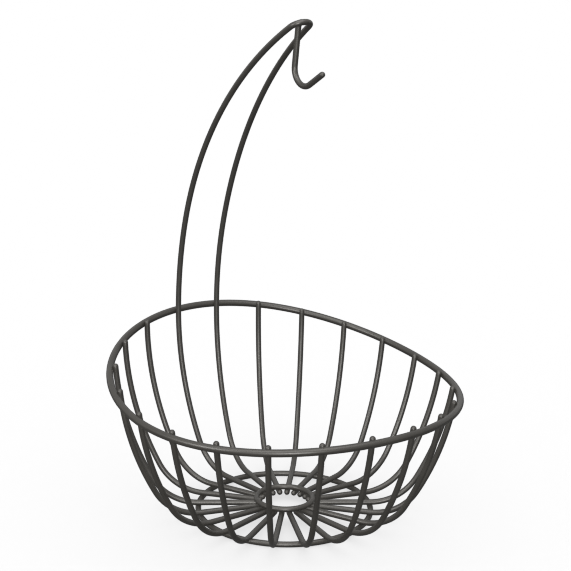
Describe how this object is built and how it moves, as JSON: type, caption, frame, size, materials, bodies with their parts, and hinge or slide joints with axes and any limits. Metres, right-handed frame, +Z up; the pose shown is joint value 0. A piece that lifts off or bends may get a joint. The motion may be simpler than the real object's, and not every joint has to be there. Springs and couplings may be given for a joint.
{
  "type": "hanging fruit basket",
  "caption": "Welded wire fruit bowl with a raised back rim, a foot ring and a swept hairpin hanger that ends in a hook for bananas.",
  "frame": {"origin": "centre of the foot ring, on the surface that it stands on", "axes": "+Z up, -Y towards the low front lip of the bowl, +Y towards the hanger"},
  "size_m": [0.265, 0.2671, 0.371],
  "materials": {
    "wire_coating": "satin dark bronze powder coat"
  },
  "bodies": {
    "root": {"rim_ring": "wire_coating", "foot_ring": "wire_coating", "centre_ring": "wire_coating", "hanger_wire": "wire_coating", "hook": "wire_coating", "rib_01": "wire_coating", "rib_02": "wire_coating", "rib_03": "wire_coating", "rib_04": "wire_coating", "rib_05": "wire_coating", "rib_06": "wire_coating", "rib_07": "wire_coating", "rib_08": "wire_coating", "rib_09": "wire_coating", "rib_10": "wire_coating", "rib_11": "wire_coating", "rib_12": "wire_coating", "rib_13": "wire_coating", "rib_14": "wire_coating", "rib_15": "wire_coating", "rib_16": "wire_coating", "rib_17": "wire_coating", "rib_18": "wire_coating", "rib_19": "wire_coating", "rib_20": "wire_coating"}
  },
  "joints": []
}
